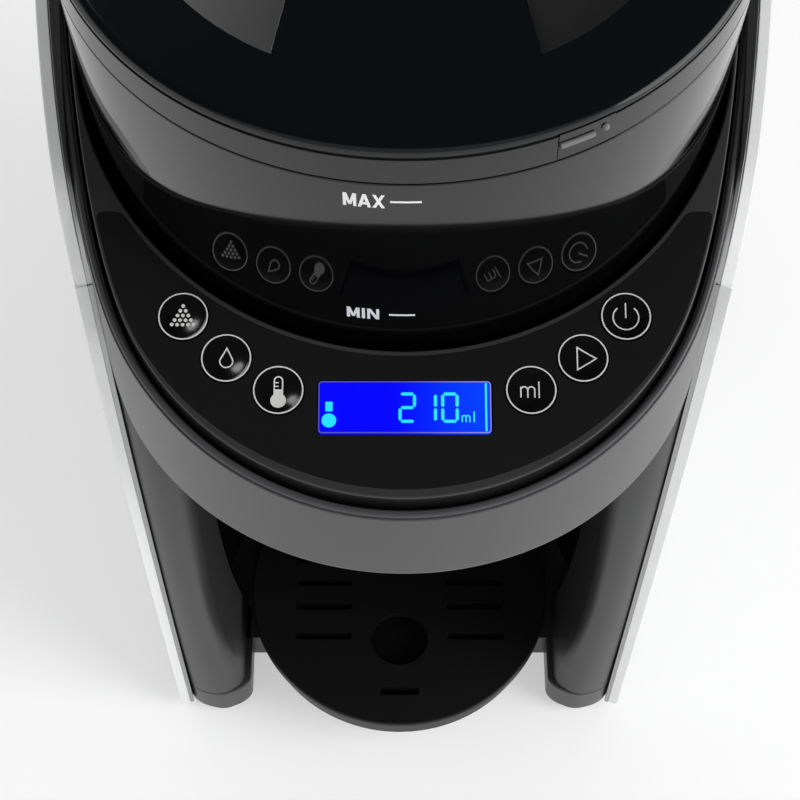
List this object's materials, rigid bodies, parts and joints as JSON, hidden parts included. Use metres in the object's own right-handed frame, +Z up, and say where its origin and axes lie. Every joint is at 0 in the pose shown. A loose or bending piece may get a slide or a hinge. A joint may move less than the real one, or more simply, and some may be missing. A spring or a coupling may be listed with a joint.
{
  "type": "baby formula maker",
  "caption": "Countertop machine that doses milk powder from a lidded container over a funnel, adds warm water from a rear tank and fills a bottle standing in its front bay.",
  "frame": {"origin": "on the floor under the middle of the machine, where its feet stand", "axes": "+Z up, -Y towards the front with the panel and the bay, +X to the right seen from the front"},
  "size_m": [0.1816, 0.29, 0.335],
  "materials": {
    "satin_grey": "satin moulded plastic",
    "silver": "metallic silver paint on plastic",
    "gloss_black": "glossy",
    "film_black": "semi-gloss printed film",
    "display": "lit blue display under clear glass",
    "matt_black": "fine matt grain",
    "smoke": "clear smoked plastic",
    "rubber": "matt",
    "inner_grey": "matt",
    "white": "matt",
    "steel": "plain",
    "heater_metal": "cast",
    "board": "varnished board",
    "hose": "clear silicone"
  },
  "bodies": {
    "housing": {"front_left_foot": "rubber", "front_right_foot": "rubber", "rear_left_foot": "rubber", "rear_right_foot": "rubber", "base_plate": "satin_grey", "right_leg": "satin_grey", "left_leg": "satin_grey", "right_side_panel": "silver", "left_side_panel": "silver", "bay_liner": "gloss_black", "head_band": "satin_grey", "trim_ring": "satin_grey", "panel_bezel": "satin_grey", "button_film": "film_black", "display_window": "display", "display_module": "white", "control_board": "board", "head_floor": "inner_grey", "container_well": "gloss_black", "idler_pin": "steel", "gear_motor": "steel", "tank_cradle": "satin_grey", "rear_cover": "satin_grey", "power_board": "board", "power_inlet": "gloss_black", "water_pump": "white", "water_heater": "heater_metal", "water_nozzle": "white", "nozzle_hose": "hose", "pump_hose": "hose", "tank_hose": "hose"},
    "container": {"powder_container": "smoke", "powder_scraper": "white"},
    "seal": {"lid_seal": "rubber"},
    "lid": {"container_lid": "gloss_black"},
    "wheel": {"dosing_wheel": "white", "stirrer": "white"},
    "hub": {"drive_hub": "white", "hub_gear": "white"},
    "idler": {"idler_gear": "white"},
    "pinion": {"motor_pinion": "white"},
    "drawer": {"funnel_drawer": "satin_grey", "mixing_funnel": "smoke"},
    "stand": {"bottle_stand": "matt_black"},
    "grate": {"stand_grate": "matt_black"},
    "tank": {"water_tank": "smoke", "tank_hinge_pin": "steel", "valve_cap": "white", "valve_spring": "steel"},
    "tank_cover": {"tank_lid": "gloss_black"},
    "valve": {"valve_plunger": "white"},
    "powder": {"powder_button": "gloss_black"},
    "water": {"water_button": "gloss_black"},
    "temperature": {"temperature_button": "gloss_black"},
    "power": {"power_button": "gloss_black"},
    "start": {"start_button": "gloss_black"},
    "volume": {"volume_button": "gloss_black"}
  },
  "joints": [
    {"name": "container_lift", "type": "slide", "parent": "housing", "child": "container", "axis": [0, 0, 1], "range_m": [0, 0.09]},
    {"name": "lid_lift", "type": "slide", "parent": "container", "child": "seal", "axis": [0, 0, 1], "range_m": [0, 0.06]},
    {"name": "lid_twist", "type": "hinge", "parent": "seal", "child": "lid", "pos_m": [0, -0.031, 0.33], "axis": [0, 0, 1], "range_deg": [0, 30]},
    {"name": "hub_spin", "type": "hinge", "parent": "housing", "child": "hub", "pos_m": [0, -0.031, 0.2345], "axis": [0, 0, 1], "continuous": true},
    {"name": "wheel_spin", "type": "hinge", "parent": "container", "child": "wheel", "pos_m": [0, -0.031, 0.257], "axis": [0, 0, 1], "continuous": true},
    {"name": "idler_spin", "type": "hinge", "parent": "housing", "child": "idler", "pos_m": [0, 0.008, 0.2345], "axis": [0, 0, 1], "continuous": true},
    {"name": "pinion_spin", "type": "hinge", "parent": "housing", "child": "pinion", "pos_m": [0, 0.0305, 0.2345], "axis": [0, 0, 1], "continuous": true},
    {"name": "drawer_slide", "type": "slide", "parent": "housing", "child": "drawer", "axis": [0, -1, 0], "range_m": [0, 0.075]},
    {"name": "stand_height", "type": "slide", "parent": "housing", "child": "stand", "axis": [0, 0, 1], "range_m": [0, 0.05]},
    {"name": "grate_lift", "type": "slide", "parent": "stand", "child": "grate", "axis": [0, 0, 1], "range_m": [0, 0.03]},
    {"name": "tank_lift", "type": "slide", "parent": "housing", "child": "tank", "axis": [0, 0, 1], "range_m": [0, 0.15]},
    {"name": "tank_lid_hinge", "type": "hinge", "parent": "tank", "child": "tank_cover", "pos_m": [0, 0.1401, 0.3157], "axis": [-1, 0, 0], "range_deg": [0, 100]},
    {"name": "valve_press", "type": "slide", "parent": "tank", "child": "valve", "axis": [0, 0, 1], "range_m": [0, 0.0025], "stiffness_N_per_m": 200, "springref_m": -0.002, "deforming": ["valve_spring"]},
    {"name": "powder_press", "type": "slide", "parent": "housing", "child": "powder", "axis": [0, 0.2419, -0.9703], "range_m": [0, 0.0008], "stiffness_N_per_m": 400, "springref_m": -0.0004},
    {"name": "water_press", "type": "slide", "parent": "housing", "child": "water", "axis": [0, 0.2419, -0.9703], "range_m": [0, 0.0008], "stiffness_N_per_m": 400, "springref_m": -0.0004},
    {"name": "temperature_press", "type": "slide", "parent": "housing", "child": "temperature", "axis": [0, 0.2419, -0.9703], "range_m": [0, 0.0008], "stiffness_N_per_m": 400, "springref_m": -0.0004},
    {"name": "power_press", "type": "slide", "parent": "housing", "child": "power", "axis": [0, 0.2419, -0.9703], "range_m": [0, 0.0008], "stiffness_N_per_m": 400, "springref_m": -0.0004},
    {"name": "start_press", "type": "slide", "parent": "housing", "child": "start", "axis": [0, 0.2419, -0.9703], "range_m": [0, 0.0008], "stiffness_N_per_m": 400, "springref_m": -0.0004},
    {"name": "volume_press", "type": "slide", "parent": "housing", "child": "volume", "axis": [0, 0.2419, -0.9703], "range_m": [0, 0.0008], "stiffness_N_per_m": 400, "springref_m": -0.0004}
  ],
  "couplings": [
    {"joint": "wheel_spin", "follows": "hub_spin", "ratio": 1},
    {"joint": "idler_spin", "follows": "hub_spin", "ratio": -1.6},
    {"joint": "pinion_spin", "follows": "hub_spin", "ratio": 3.2}
  ]
}
